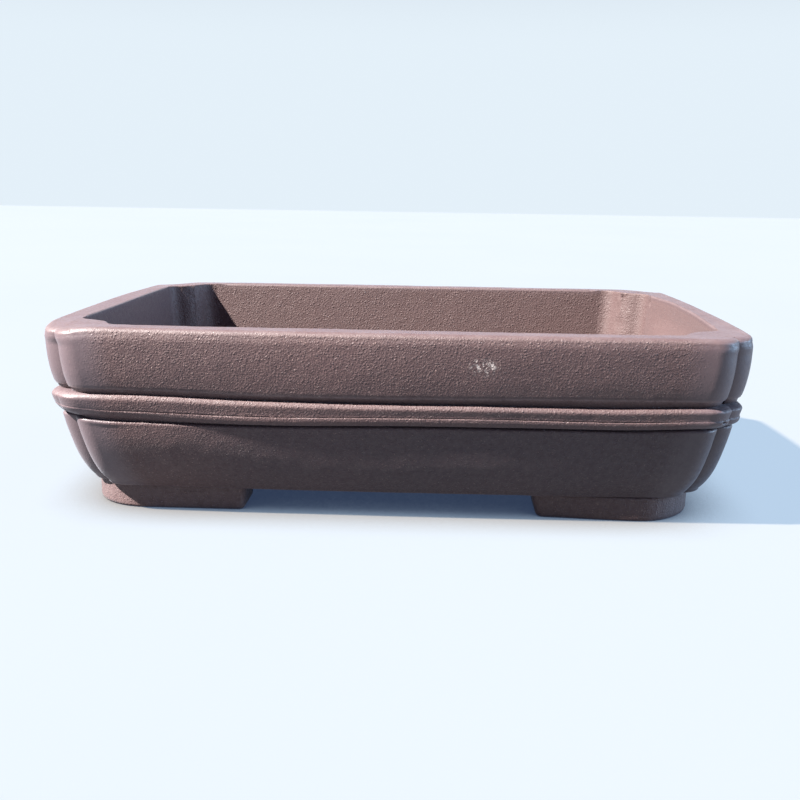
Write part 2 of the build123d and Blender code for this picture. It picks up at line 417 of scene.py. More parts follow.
def wall_surface(side, station, row):
    """One point of a wall before warping, with its outward direction and its material fields."""
    turn, half, depth, bow = SIDES[side]
    inset, level, lobe, blend, kind = row
    if lobe is None:
        lobe = upper_lobe(level, SIDE_ENDS[side][station[0] > 0])
    if kind.startswith("edge"):
        # The rounding of the inner rim edge dies out where the corner coil fills the corner.
        along, _ = inner_point(station, half, INNER_RIM_INSET, 0)
        corner = half - INNER_RIM_INSET - abs(along)
        radius = max(0.02 * MM, INNER_ROUND * smooth(25 * MM, 31 * MM, corner))
        angle = math.radians(90 - 15 * int(kind[4:]))
        inset = INNER_RIM_INSET - radius + radius * math.cos(angle)
        level = RIM - radius + radius * math.sin(angle)
    radius = RABBET_RADIUS if kind in ("rabbet", "under") else 0
    u0, v0 = outer_point(station, half, bow, inset, lobe)
    u1, v1 = inner_point(station, half, inset, radius)
    point = Vector((mix(u0, u1, blend), mix(v0, v1, blend) - depth, level))
    return turn @ point


def section_normals(grid):
    """Unit normals of a grid of points, rings by rows, from its neighbours."""
    rings, size = len(grid), len(grid[0])
    normals = []
    for i in range(rings):
        before = grid[max(0, i - 1)]
        after = grid[min(rings - 1, i + 1)]
        line = []
        for k in range(size):
            along = after[k] - before[k]
            across = grid[i][(k + 1) % size] - grid[i][k - 1]
            line.append(across.cross(along).normalized())
        normals.append(line)
    return normals


# ---- Small faults left by the hand that made it, in mm: (place, radii, depth) ----
PITS_MM = [
    ((-139.0, -103.5, 57.4), (1.5, 2.0, 1.5), 1.5),
    ((-133.5, -109.5, 81.4), (0.8, 0.8, 1.1), 0.6),
    ((134.6, -99.0, 38.8), (1.0, 2.0, 3.4), 1.6),
    ((132.4, -96.5, 33.2), (0.9, 2.0, 2.4), 1.4),
    ((137.4, -104.0, 45.6), (1.4, 4.0, 1.2), 1.8),
    ((120.5, -92.0, 5.8), (1.2, 3.0, 1.0), 1.3),
    ((138.4, 72.0, 78.0), (2.0, 1.7, 3.6), 1.5),
]
PITS = [(Vector(place) * MM, Vector(radii) * MM, depth * MM) for place, radii, depth in PITS_MM]


def pitted(point, normal):
    """The point pushed in where a pit is."""
    for place, radii, depth in PITS:
        gap = point - place
        if abs(gap.x) > radii.x or abs(gap.y) > radii.y or abs(gap.z) > radii.z:
            continue
        reach = math.sqrt((gap.x / radii.x) ** 2 + (gap.y / radii.y) ** 2 + (gap.z / radii.z) ** 2)
        if reach < 1:
            point = point - normal * depth * (1 - reach * reach) ** 2
    return point


def uneven(point, normal, amount=1.0):
    """Low lumps and finger-smoothing marks on a clay surface."""
    lumps = 0.13 * wave(point, 17 * MM, 11)
    lumps += 0.06 * wave(point, 6 * MM, 12)
    lumps += 0.03 * wave(point, 2.4 * MM, 13)
    return point + normal * lumps * MM * amount


def rubbed_share(station, half):
    """1 on the lobes, where the clay was smoothed with a wet finger and a pale sheen is painted, fading out
    along the straight.
    """
    place, share = station
    if share > 0:
        return 1.0
    return 1 - smooth(0, 15 * MM, (1 - abs(place)) * (half - UPPER_LOBE[1]))


def handling(places, i, half):
    """(how uneven the clay is, how far it was rubbed smooth) at a station. It is even at the mitres."""
    smoothed = rubbed_share(places[i], half)
    from_end = min(i, len(places) - 1 - i) / 8
    return smooth(0, 1, from_end) * (1 - 0.5 * smoothed), smoothed


def edge_wander(point):
    """The edges beside the band aren't ruled straight: the surfaces next to them shift up and down."""
    x, y, z = point
    along = x if abs(x) / HALF_LENGTH < abs(y) / HALF_WIDTH else y + 0.7
    over = 0.3 * MM * wave((along, 0, 0), 26 * MM, 21) + 0.15 * MM * wave((along, 0, 0), 9 * MM, 22)
    over += corner_rise(point, GROOVE_RISE)
    shift = over * bump_at(z, UPPER_BOTTOM, 5 * MM) * smooth(BAND_TOP - 1 * MM, UPPER_BOTTOM, z)
    # The shoulder under the band follows the band's foot.
    under = bump_at(z, BAND_BOTTOM + 1 * MM, 5 * MM)
    shift += band_foot_rise(point) * under * (1 - smooth(BAND_BOTTOM + 3 * MM, BAND_TOP, z))
    front = smooth(0.75, 0.85, -y / HALF_WIDTH)
    swell = 1.2 * MM * front * bump_at(x, -98 * MM, 42 * MM) * bump_at(z, BAND_BOTTOM - 8 * MM, 11 * MM)
    # A smear of slip was left under the band at the front left.
    smear = 0.35 * MM * front * bump_at(x, -122 * MM, 10 * MM) * bump_at(z, BAND_BOTTOM - 1.6 * MM, 0.9 * MM)
    return Vector((x, y - swell - smear, z + shift))


def make_wall(side):
    half = SIDES[side][1]
    places = stations(half)
    rows = wall_rows()[::-1]
    grid = [[wall_surface(side, station, row) for row in rows] for station in places]
    normals = section_normals(grid)
    verts, rim, wear_and_highlight, inside, rub_and_sheen = [], [], [], [], []
    for i, line in enumerate(grid):
        uneven_here, smoothed = handling(places, i, half)
        for k, point in enumerate(line):
            kind = rows[k][4]
            on_rim = kind == "rim" or kind.startswith("edge")
            amount = uneven_here
            if kind in ("seat", "rabbet", "under"):
                amount = 0
            if on_rim or kind == "inner":
                amount *= 0.6
            placed = uneven(point, normals[i][k], amount)
            if kind in ("outer", "rim", "inner"):
                placed = pitted(placed, normals[i][k])
            if kind in ("outer", "seat"):
                placed = edge_wander(placed)
            verts.append(settled(placed))
            flat = smooth(0, 0.9 * (RIM - RIM_SHOULDER), point.z - RIM_SHOULDER)
            rim.append(flat**3 if on_rim else 0.0)
            # Paler edges on the lip under the upper wall and the rim's rounded edge: partly wear, partly
            # painted highlight where they catch the key light.
            edge = bump_at(point.z, UPPER_BOTTOM + 0.3 * MM, 0.5 * MM) if kind == "outer" else 0.0
            shoulder = 0.45 * bump_at(point.z, RIM - 1.2 * MM, 1.3 * MM) if kind in ("outer", "rim") else 0.0
            wear_and_highlight.append(max(edge, shoulder * (1 - flat**3)))
            inside.append(1.0 if kind == "inner" else 0.0)
            rub_and_sheen.append(smoothed if kind in ("outer", "rim") else 0.0)
    faces = loft_faces(grid)
    fields = {"rim": rim, "wear_and_highlight": wear_and_highlight, "inside": inside, "rub_and_sheen": rub_and_sheen}
    return make_piece(side + "_wall", verts, faces, fields)


# ===== waist band =====

SCORE_HEIGHT = 4.0 * MM             # the scored line's height above the band's foot


def band_rows():
    """Closed section of the band: a rounded top that catches the light, a face leaning in downwards, a thin
    scored line, a lip and a rolled foot. A row is (inset, level, kind)."""
    back = SEAT_INSET + 0.3 * MM
    face = 2.4 * MM
    lean = 0.65 * MM
    low_face = face + lean
    score = BAND_BOTTOM + SCORE_HEIGHT
    rows = [(back, BAND_BOTTOM + 0.3 * MM, "seat")]
    rolled = arc((low_face + 2.9 * MM, BAND_BOTTOM + 3.1 * MM), (2.95 * MM, 3.0 * MM), 262, 186, 12)
    rows += [(inset, level, "roll") for inset, level in rolled]
    lip = ((-0.1, -0.7, "lip"), (-0.12, -0.4, "lip"), (-0.02, -0.18, "lip"))
    cut = ((0.22, 0, "score"), (0.06, 0.16, "band"), (0, 0.4, "band"))
    for inset, level, kind in lip + cut:
        rows.append((low_face + inset * MM, score + level * MM, kind))
    for level in steps(score + 0.8 * MM, BAND_TOP - 2.7 * MM, 0.55 * MM):
        share = (BAND_TOP - 2.7 * MM - level) / (BAND_TOP - 3.5 * MM - score)
        rows.append((face + lean * share, level, "band"))
    rounded = arc((face + 3.0 * MM, BAND_TOP - 2.9 * MM), (3.1 * MM, 2.8 * MM), 165, 90, 11)
    rows += [(inset, level, "top") for inset, level in rounded]
    rows.append((back, BAND_TOP - 0.15 * MM, "seat"))
    rows.append((back, mix(BAND_TOP, BAND_BOTTOM, 0.5), "seat"))
    return rows


def band_wander(point, kind):
    """The band's edges and its scored line rise and fall along the side."""
    x, y, z = point
    along = x if abs(x) / HALF_LENGTH < abs(y) / HALF_WIDTH else y + 0.7
    height = (z - BAND_BOTTOM) / (BAND_TOP - BAND_BOTTOM)
    shift = mix(band_foot_rise(point), band_top_rise(point), smooth(0, 1, height))
    shift += 0.18 * MM * wave((along, 0, 0), 35 * MM, 31) * smooth(0.6, 1, height)
    shift += 0.4 * MM * wave((along, 0, 0), 50 * MM, 32) * bump_at(z, BAND_BOTTOM + SCORE_HEIGHT, 2.2 * MM)
    if kind in ("lip", "score"):
        shift += 0.1 * MM * wave((along, 0, z), 2.0 * MM, 34)
    # At the front left the band's lower half was pressed back.
    near_corner = 1 - smooth(20 * MM, 85 * MM, from_corner(point, "front_left"))
    pressed = 1.7 * MM * near_corner * (1 - smooth(0, 0.55, height))
    into_y = pressed * smooth(0.75, 0.85, -y / HALF_WIDTH)
    into_x = pressed * smooth(0.93, 0.97, -x / HALF_LENGTH)
    return Vector((x + into_x, y + into_y, z + shift))


def make_band(side):
    turn, half, depth, bow = SIDES[side]
    places = stations(half)
    rows = band_rows()[::-1]
    grid = []
    for station in places:
        front_lobe = BAND_LOBES[SIDE_ENDS[side][station[0] > 0]]
        line = []
        for inset, level, kind in rows:
            u, v = outer_point(station, half, bow, inset, WALL_LOBE if kind == "seat" else front_lobe)
            line.append(turn @ Vector((u, v - depth, level)))
        grid.append(line)
    normals = section_normals(grid)
    verts, wear_and_highlight, rub_and_sheen = [], [], []
    for i, line in enumerate(grid):
        uneven_here, smoothed = handling(places, i, half)
        # The scored line and its lip fade out towards the corners.
        drawn = smooth(0, 1, (1 - abs(places[i][0])) * half / (45 * MM))
        for k, point in enumerate(line):
            kind = rows[k][2]
            placed = uneven(point, normals[i][k], 0 if kind == "seat" else uneven_here)
            if kind != "seat":
                placed = pitted(placed, normals[i][k])
            if kind == "score":
                # The line is cut deeper in some places than in others.
                depth_here = 0.22 * MM * (1.2 + wave(point, 16 * MM, 35)) * drawn
                placed = placed - normals[i][k] * (depth_here - 0.2 * MM * (1 - drawn))
            placed = band_wander(placed, kind)
            verts.append(settled(placed))
            # The band's rounded top and the lip under its scored line are paler: partly wear, partly painted
            # highlight where they catch the key light.
            wear_and_highlight.append({"top": 0.2, "lip": 0.25 * drawn}.get(kind, 0.0))
            rub_and_sheen.append(0.8 * smoothed)
    faces = loft_faces(grid)
    fields = {"rim": 0.0, "wear_and_highlight": wear_and_highlight, "inside": 0.0, "rub_and_sheen": rub_and_sheen}
    return make_piece(side + "_band", verts, faces, fields)


# ===== corner coils =====

def coil_profile(radius, fillet, cut):
    """Plan of a corner coil as (distance from one wall, distance from the other, share round the ridge).
    The ridge is round and its clay is smeared into the walls by a hollow fillet on each side. cut shrinks it
    evenly."""
    lean = math.asin(fillet / (radius + fillet))
    reach = math.sqrt((radius + fillet) ** 2 - fillet**2)
    feather = 0.4 * MM + cut
    half = [(reach * i / 5, -feather, 0.0) for i in range(1, 6)]
    for i in range(7):
        angle = mix(1.5 * math.pi, math.pi + lean, i / 6)
        hollow = fillet + cut
        half.append((reach + hollow * math.cos(angle), fillet + hollow * math.sin(angle), 0.0))
    ridge = []
    for i in range(1, 30):
        angle = mix(lean, math.pi / 2 - lean, i / 30)
        ridge.append(((radius - cut) * math.cos(angle), (radius - cut) * math.sin(angle), i / 30))
    mirrored = [(b, a, 1.0) for a, b, _ in reversed(half)]
    return half + ridge + mirrored


def make_corner_coil(corner):
    """A quarter-round ridge from the floor to the rim, with its top flush with the rim."""
    sign_x, sign_y = CORNERS[corner]
    radius = COIL_HIGH.x - COIL_LOW.x - (FLOOR_LINE_INSET - INNER_RIM_INSET)
    levels = steps(FLOOR, RIM - COIL_ROUND, 1.0 * MM)
    layers = [(level, 0.0) for level in levels]
    for i in range(1, 7):
        angle = math.radians(15 * i)
        layers.append((RIM - COIL_ROUND * (1 - math.sin(angle)), COIL_ROUND * (1 - math.cos(angle))))
    rings = []
    for level, cut in layers:
        inset = inner_inset(level)
        centre = Vector((sign_x * (HALF_LENGTH - inset), sign_y * (HALF_WIDTH - inset), level))
        ring = [centre + Vector((sign_x * 1.5 * MM, sign_y * 1.5 * MM, 0))]
        for a, b, share in coil_profile(radius, 8 * MM, cut):
            spot = centre + Vector((-sign_x * a, -sign_y * b, 0))
            out = Vector((-sign_x * a, -sign_y * b, 0)).normalized()
            fade = smooth(0, 0.3, share) * smooth(0, 0.3, 1 - share)
            pressed = 0.45 * wave(spot, 14 * MM, 41) + 0.25 * wave(spot, 5 * MM, 42)
            # A rough seam runs down the ridge from the rim, where the end of the coil was pinched off.
            seam = bump_at(share, 0.45 + 0.05 * wave(spot, 7 * MM, 43), 0.035)
            seam *= smooth(RIM - 26 * MM, RIM - 8 * MM, level)
            crumbs = 0.55 * seam * (0.6 + 1.6 * wave(spot, 1.6 * MM, 44))
            crumbs += 0.5 * smooth(RIM - 5 * MM, RIM, level) * wave(spot, 2.6 * MM, 45)
            ring.append(spot + out * fade * (pressed + crumbs) * MM)
        if sign_x * sign_y < 0:
            ring.reverse()
        rings.append(ring)
    # Inner rings on the top, drawn in towards the corner, let it follow the rim's unevenness.
    edge_rings = len(rings)
    top = rings[-1]
    for share in (0.2, 0.4, 0.6, 0.8, 0.95):
        rings.append([point.lerp(centre, share) for point in top])
    verts, rim = [], []
    for k, ring in enumerate(rings):
        for point in ring:
            verts.append(settled(point))
            rim.append(1.0 if k >= edge_rings - 1 else 0.0)
    faces = loft_faces(rings)
    fields = {"rim": rim, "wear_and_highlight": 0.0, "inside": [1.0 - share for share in rim]}
    return make_piece("corner_coil_" + corner, verts, faces, fields)


# ===== floor coils =====

def make_floor_coil(side):
    """A low ridge pressed along the seam of floor and wall. Its ends run into the corner coils."""
    turn, half, depth, _ = SIDES[side]
    radius = 8.0 * MM
    slope = (FLOOR_LINE_INSET - BEND_INSET) / (BEND_LEVEL - FLOOR)
    reach = half - FLOOR_LINE_INSET - 14 * MM
    rings = []
    for u in steps(-reach, reach, 1.4 * MM):
        ring = [Vector((u, FLOOR_LINE_INSET - 0.4 * MM, FLOOR - 0.3 * MM))]
        grow = radius * (1 + 0.07 * wave((u, side == "left", depth), 18 * MM, 51))
        for i in range(15):
            angle = math.pi / 2 * i / 14
            into = grow * math.cos(angle) * 0.98
            up = grow * math.sin(angle) * 0.98
            ring.append(Vector((u, FLOOR_LINE_INSET + into - slope * up, FLOOR + up)))
        ring[1].z = FLOOR - 0.3 * MM
        ring[-1].y -= 0.5 * MM
        rings.append([turn @ (p - Vector((0, depth, 0))) for p in ring])
    verts = [settled(point) for ring in rings for point in ring]
    faces = loft_faces(rings)
    return make_piece("floor_coil_" + side, verts, faces, {"rim": 0.0, "wear_and_highlight": 0.0, "inside": 1.0})


# ===== feet =====

FOOT_LEG = 26 * MM                  # breadth of a foot's legs
# How far the ends of each foot's legs lean in towards the ground.
FOOT_LEAN = {"front_left": 0.5 * MM, "front_right": 2.6 * MM, "back_left": 2.0 * MM, "back_right": 1.2 * MM}
# The front left foot was cut a little short, and dust lies on the feet. The front left foot's larger share is
# painted light, the bounce from the sunlit floor in front of it.
FOOT_SHORT = {"front_left": 2.0 * MM}
FOOT_DUST_AND_PAINTED_LIGHT = {"front_left": 0.55, "front_right": 0.15, "back_left": 0.15, "back_right": 0.15}


def rounded_loop(points, radii, grow, density):
    """Points round an anticlockwise polygon with rounded corners, moved outwards by grow."""
    loop = []
    count = len(points)
    for i in range(count):
        before, here, after = points[i - 1], points[i], points[(i + 1) % count]
        into = (here - before).normalized()
        out = (after - here).normalized()
        turn = into.x * out.y - into.y * out.x
        sign = 1 if turn > 0 else -1
        radius = radii[i]
        centre = here + (out - into) * radius
        start = Vector((into.y, -into.x)) * sign
        size = radius + grow * sign
        for k in range(density + 1):
            angle = sign * math.pi / 2 * k / density
            ray = Matrix.Rotation(angle, 2) @ start
            loop.append(centre + ray * size)
    return loop


def foot_layers(height):
    """(level, growth of the outline) from the ground up: a rounded edge, a plain face and a soft top."""
    soft_low = 1.6 * MM
    soft_top = 0.8 * MM
    layers = []
    for i in range(6):
        angle = math.radians(18 * i)
        layers.append((soft_low * (1 - math.cos(angle)), -soft_low * (1 - math.sin(angle))))
    layers += [(level, 0.0) for level in steps(soft_low, height - soft_top, 0.8 * MM)[1:]]
    for i in range(1, 4):
        angle = math.radians(30 * i)
        layers.append((height - soft_top * (1 - math.sin(angle)), -soft_top * (1 - math.cos(angle))))
    return layers


def make_foot(corner):
    """An L-shaped pad with a broad outer corner, softened edges and leaning ends."""
    sign_x, sign_y = CORNERS[corner]
    low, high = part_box("foot_" + corner)
    shift = (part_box("foot_front_left")[0].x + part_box("foot_front_right")[1].x) / 2
    outer_x = max(abs(low.x - shift), abs(high.x - shift))
    outer_y = max(abs(low.y), abs(high.y))
    end_x = min(abs(low.x - shift), abs(high.x - shift)) + FOOT_SHORT.get(corner, 0)
    end_y = min(abs(low.y), abs(high.y))
    corner_radii = [3 * MM, 5 * MM, 3 * MM, 3 * MM, 26 * MM, 3 * MM]
    rings = []
    counts = []
    for level, grow in foot_layers(high.z):
        lean = FOOT_LEAN[corner] * (1 - level / high.z)
        plan = [
            Vector((end_x + lean, outer_y - FOOT_LEG)),
            Vector((outer_x - FOOT_LEG, outer_y - FOOT_LEG)),
            Vector((outer_x - FOOT_LEG, end_y + lean)),
            Vector((outer_x, end_y + lean)),
            Vector((outer_x, outer_y)),
            Vector((end_x + lean, outer_y)),
        ]
        loop = rounded_loop(plan, corner_radii, grow, 10)
        if not counts:
            # Every layer is divided like the first one, so that the layers match point for point.
            gaps = [(loop[(i + 1) % len(loop)] - here).length for i, here in enumerate(loop)]
            counts = [max(1, math.ceil(gap / (1.1 * MM))) for gap in gaps]
        ring = []
        for i, here in enumerate(loop):
            after = loop[(i + 1) % len(loop)]
            for k in range(counts[i]):
                flat = here.lerp(after, k / counts[i])
                ring.append(Vector((sign_x * flat.x + shift, sign_y * flat.y, level)))
        rings.append(ring)
    middle = Vector((sign_x * (outer_x - 30 * MM) + shift, sign_y * (outer_y - 30 * MM), 0))
    verts = []
    for ring in rings:
        for point in ring:
            out = Vector((point.x - middle.x, point.y - middle.y, 0)).normalized()
            rise = smooth(0, 2 * MM, point.z) * smooth(0, 2 * MM, high.z - point.z)
            placed = pitted(uneven(point, out, 1.5 * rise), out)
            if corner == "front_right":
                # This foot was set on askew: its front face comes forward towards the corner.
                askew = smooth(58 * MM, 105 * MM, point.x) * (1 - smooth(110 * MM, 134 * MM, point.x))
                placed.y -= 3.0 * MM * askew * smooth(-60 * MM, -85 * MM, point.y)
            verts.append(settled(placed))
    faces = loft_faces(rings)
    if sign_x * sign_y < 0:
        faces = [tuple(reversed(face)) for face in faces]
    fields = {"rim": 0.0, "wear_and_highlight": FOOT_DUST_AND_PAINTED_LIGHT[corner], "inside": 0.0}
    return make_piece("foot_" + corner, verts, faces, fields)


# ===== floor slab =====

HOLE_CHAMFER = 1.2 * MM
SLAB_VOXEL = 1.1 * MM


def ring_prism(name, loop, layers):
    """A closed prism over a plan loop. layers are (level, scale about the loop's centre)."""
    centre = sum(loop, Vector((0, 0))) / len(loop)
    rings = [[tuple(centre + (p - centre) * scale) + (level,) for p in loop] for level, scale in layers]
    return new_object(name, new_mesh(name, sum(rings, []), loft_faces(rings)))


def make_floor():
    """The slab with its holes cut and their edges softened, and a slightly uneven top."""
    half_x, half_y = SLAB_HIGH.x, SLAB_HIGH.y
    corners = [Vector((x * half_x, y * half_y)) for x, y in ((1, -1), (1, 1), (-1, 1), (-1, -1))]
    loop = rounded_loop(corners, [RABBET_RADIUS] * 4, 0, 12)
    slab = ring_prism("slab_block", loop, [(UNDERSIDE, 1), (FLOOR, 1)])
    holes = []
    for mount in frame["record"]["mounts"]:
        dims = mount["dims"]
        if mount["kind"] == "bore":
            holes.append((mount["pos_m"][0], mount["pos_m"][1], dims["r_mm"] * MM))
        if mount["kind"] == "bolt_pattern":
            step_x = dims["spacing_x_mm"] * MM / 2
            step_y = dims["spacing_y_mm"] * MM / 2
            for sign_x, sign_y in CORNERS.values():
                holes.append((sign_x * step_x, sign_y * step_y, dims["hole_r_mm"] * MM))
    tools = []
    for x, y, radius in holes:
        angles = steps(0, 2 * math.pi, 0.12)[:-1]
        circle = [Vector((x + radius * math.cos(a), y + radius * math.sin(a))) for a in angles]
        flare = 1 + HOLE_CHAMFER / radius
        layers = [(UNDERSIDE - 1 * MM, flare), (UNDERSIDE, flare), (UNDERSIDE + HOLE_CHAMFER, 1)]
        layers += [(FLOOR - HOLE_CHAMFER, 1), (FLOOR, flare), (FLOOR + 1 * MM, flare)]
        tools.append(ring_prism("hole_tool", circle, layers))
    for tool in tools:
        cut = slab.modifiers.new("cut", "BOOLEAN")
        cut.operation = "DIFFERENCE"
        cut.object = tool
    remesh = slab.modifiers.new("even", "REMESH")
    remesh.mode = "VOXEL"
    remesh.voxel_size = SLAB_VOXEL
    soften = slab.modifiers.new("soften", "SMOOTH")
    soften.factor = 0.5
    soften.iterations = 2
    ready = slab.evaluated_get(bpy.context.evaluated_depsgraph_get())
    mesh = bpy.data.meshes.new_from_object(ready)
    middle = (FLOOR + UNDERSIDE) / 2
    verts = []
    for vertex in mesh.vertices:
        point = vertex.co.copy()
        up = Vector((0, 0, 1 if point.z > middle else -1))
        inside = min(half_x - abs(point.x), half_y - abs(point.y))
        placed = uneven(point, up, 1.6 * smooth(0, 6 * MM, inside))
        verts.append(settled(placed))
    faces = [tuple(face.vertices) for face in mesh.polygons]
    for extra in [slab] + tools:
        bpy.data.objects.remove(extra)
    top = [1.0 if v.z > middle else 0.0 for v in verts]
    return make_piece("floor_slab", verts, faces, {"rim": 0.0, "wear_and_highlight": 0.0, "inside": top}, sharp=70)


# ===== the clay =====

class Nodes:
    """A material's node tree, with short names for making and joining nodes."""

    def __init__(self, tree):
        self.tree = tree
        tree.nodes.clear()

    def add(self, kind, inputs=None, **settings):
        node = self.tree.nodes.new(kind)
        for key, value in settings.items():
            setattr(node, key, value)
        for key, value in (inputs or {}).items():
            self.put(node.inputs[key], value)
        return node

    def finish(self, kind, shader):
        """The tree's output node."""
        output = self.add(kind)
        self.put(output.inputs["Surface"], shader.outputs[0])

    def put(self, socket, value):
        if isinstance(value, bpy.types.NodeSocket):
            self.tree.links.new(value, socket)
        else:
            socket.default_value = value

    def math(self, operation, a, b):
        node = self.add("ShaderNodeMath", operation=operation)
        self.put(node.inputs[0], a)
        self.put(node.inputs[1], b)
        return node.outputs[0]

    def times(self, a, b):
        return self.math("MULTIPLY", a, b)

    def ramp(self, value, low, high, to_low=0.0, to_high=1.0):
        """A smooth step from to_low, at low and below, to to_high, at high and above."""
        node = self.add("ShaderNodeMapRange", interpolation_type="SMOOTHSTEP")
        for i, entry in enumerate((value, low, high, to_low, to_high)):
            self.put(node.inputs[i], entry)
        return node.outputs[0]

    def blend(self, factor, a, b):
        """Colour a at factor 0 and colour b at factor 1."""
        node = self.add("ShaderNodeMix", data_type="RGBA")
        self.put(node.inputs[0], factor)
        self.put(node.inputs[6], a)
        self.put(node.inputs[7], b)
        return node.outputs[2]

    def noise(self, where, size, detail=4.0, roughness=0.55):
        """Noise with lumps of about that size in metres."""
        inputs = {"Vector": where, "Scale": 1 / size, "Detail": detail, "Roughness": roughness}
        return self.add("ShaderNodeTexNoise", inputs).outputs["Fac"]

    def cells(self, where, size):
        """(distance from the middle of the nearest grain, the grain's random colour)."""
        node = self.add("ShaderNodeTexVoronoi", {"Vector": where, "Scale": 1 / size}, feature="F1")
        split = self.add("ShaderNodeSeparateColor", {"Color": node.outputs["Color"]})
        return node.outputs["Distance"], split.outputs

    def field(self, name):
        return self.add("ShaderNodeAttribute", attribute_name=name).outputs["Fac"]


def specks(tree, where, size, share):
    """(mask of scattered grains about that size, a random value per grain). share of the cells hold one."""
    distance, chance = tree.cells(where, size)
    chosen = tree.math("LESS_THAN", chance[0], share)
    return tree.times(chosen, tree.ramp(distance, 0.22, 0.42, 1.0, 0.0)), chance[1]


def grains(tree, where, size):
    """Rounded sand grains about that size, each standing up by its own amount."""
    distance, chance = tree.cells(where, size)
    rounded = tree.ramp(distance, 0.05, 0.6, 1.0, 0.0)
    return tree.times(rounded, tree.ramp(chance[2], 0, 1, 0.1, 1.0))


# The clay's colours, with the painted shade and sheen colours laid over them.
BODY_COLOUR = (0.066, 0.0318, 0.0313, 1)
BODY_DRIFT = (0.054, 0.0270, 0.0280, 1)
CLOUD_COLOUR = (0.070, 0.037, 0.036, 1)
SAND_COLOUR = (0.092, 0.052, 0.049, 1)
PORE_COLOUR = (0.024, 0.0145, 0.0158, 1)
SPECK_COLOUR = (0.20, 0.13, 0.11, 1)
LOBE_SHEEN_COLOUR = (0.090, 0.067, 0.076, 1)
RIGHT_END_SHADE_COLOUR = (0.020, 0.0110, 0.0125, 1)
LOWER_WALL_SHADE_COLOUR = (0.006, 0.0065, 0.0155, 1)
INSIDE_COLOUR = (0.070, 0.040, 0.037, 1)
RIM_COLOUR = (0.083, 0.0570, 0.058, 1)
WORN_AND_LIT_EDGE_COLOUR = (0.108, 0.071, 0.069, 1)
CHALK_COLOUR = (0.42, 0.37, 0.35, 1)

# A chalky scuff on the front face.
SCUFF_PLACE = Vector((37 * MM, -HALF_WIDTH, 69 * MM))
SCUFF_RADII = Vector((8 * MM, 12 * MM, 5 * MM))
RELIEF_DEPTH = 0.42 * MM


def scuff_mask(tree, where):
    """Broken patches inside an ellipsoid round the scuff's place."""
    offset = tree.add("ShaderNodeVectorMath", {0: where, 1: SCUFF_PLACE}, operation="SUBTRACT")
    scale = [1 / radius for radius in SCUFF_RADII]
    squeezed = tree.add("ShaderNodeVectorMath", {0: offset.outputs[0], 1: scale}, operation="MULTIPLY")
    reach = tree.add("ShaderNodeVectorMath", {0: squeezed.outputs[0]}, operation="LENGTH")
    near = tree.ramp(reach.outputs["Value"], 0.2, 1.0, 1.0, 0.0)
    chalk = tree.ramp(tree.noise(where, 1.8 * MM, 6, 0.8), 0.5, 0.6)
    return tree.times(tree.times(near, chalk), 0.9)


def clay_colour(tree, where, light, light_random):
    """Colour of the clay. light is the mask of the pale sand grains."""
    # Slow drift between two browns, cloudy patches, sand grains and dark pores.
    drift = tree.ramp(tree.noise(where, 60 * MM, 3), 0.3, 0.7)
    colour = tree.blend(drift, BODY_COLOUR, BODY_DRIFT)
    cloud = tree.ramp(tree.noise(where, 9 * MM, 5, 0.6), 0.35, 0.72)
    colour = tree.blend(tree.times(cloud, 0.35), colour, CLOUD_COLOUR)
    grain = tree.ramp(tree.noise(where, 0.8 * MM, 3, 0.7), 0.35, 0.68)
    colour = tree.blend(tree.times(grain, 0.3), colour, SAND_COLOUR)
    colour = tree.blend(tree.times(tree.math("SUBTRACT", 1.0, grain), 0.25), colour, PORE_COLOUR)
    colour = tree.blend(tree.times(light, tree.ramp(light_random, 0.2, 1, 0.05, 0.7)), colour, SPECK_COLOUR)

    # The lobes are painted paler and bluish: a painted sheen, the reflection of the bright surroundings at
    # grazing angles.
    colour = tree.blend(tree.times(tree.field("rub_and_sheen"), 0.65), colour, LOBE_SHEEN_COLOUR)

    # Painted shade: the clay is made a shade darker towards the right end, away from the key light.
    axes = tree.add("ShaderNodeSeparateXYZ", {"Vector": where})
    right_end_shade = tree.ramp(axes.outputs["X"], -HALF_LENGTH, HALF_LENGTH, 0.0, 0.42)
    colour = tree.blend(right_end_shade, colour, RIGHT_END_SHADE_COLOUR)

    # Painted shade: the lower wall under the band is made darker still, the band's shadow, except near the
    # left end where the key light reaches it.
    above_feet = tree.ramp(axes.outputs["Z"], 10 * MM, 12 * MM)
    below_band = tree.ramp(axes.outputs["Z"], 40 * MM, 44 * MM, 1.0, 0.0)
    along = tree.ramp(axes.outputs["X"], -95 * MM, -45 * MM, 0.0, 0.36)
    colour = tree.blend(tree.times(tree.times(above_feet, below_band), along), colour, LOWER_WALL_SHADE_COLOUR)

    # The inner walls are a little redder and the rim paler and pinker. Edges marked as worn are paler still:
    # partly wear, partly painted highlight where they catch the key light.
    colour = tree.blend(tree.times(tree.field("inside"), 0.55), colour, INSIDE_COLOUR)
    rim_cloud = tree.ramp(tree.noise(where, 14 * MM, 4), 0.3, 0.7, 0.5, 0.85)
    colour = tree.blend(tree.times(tree.field("rim"), rim_cloud), colour, RIM_COLOUR)
    wear_and_highlight_patches = tree.ramp(tree.noise(where, 3 * MM, 4, 0.65), 0.3, 0.6, 0.35, 1.0)
    colour = tree.blend(tree.times(tree.field("wear_and_highlight"), wear_and_highlight_patches), colour, WORN_AND_LIT_EDGE_COLOUR)
    return tree.blend(scuff_mask(tree, where), colour, CHALK_COLOUR)


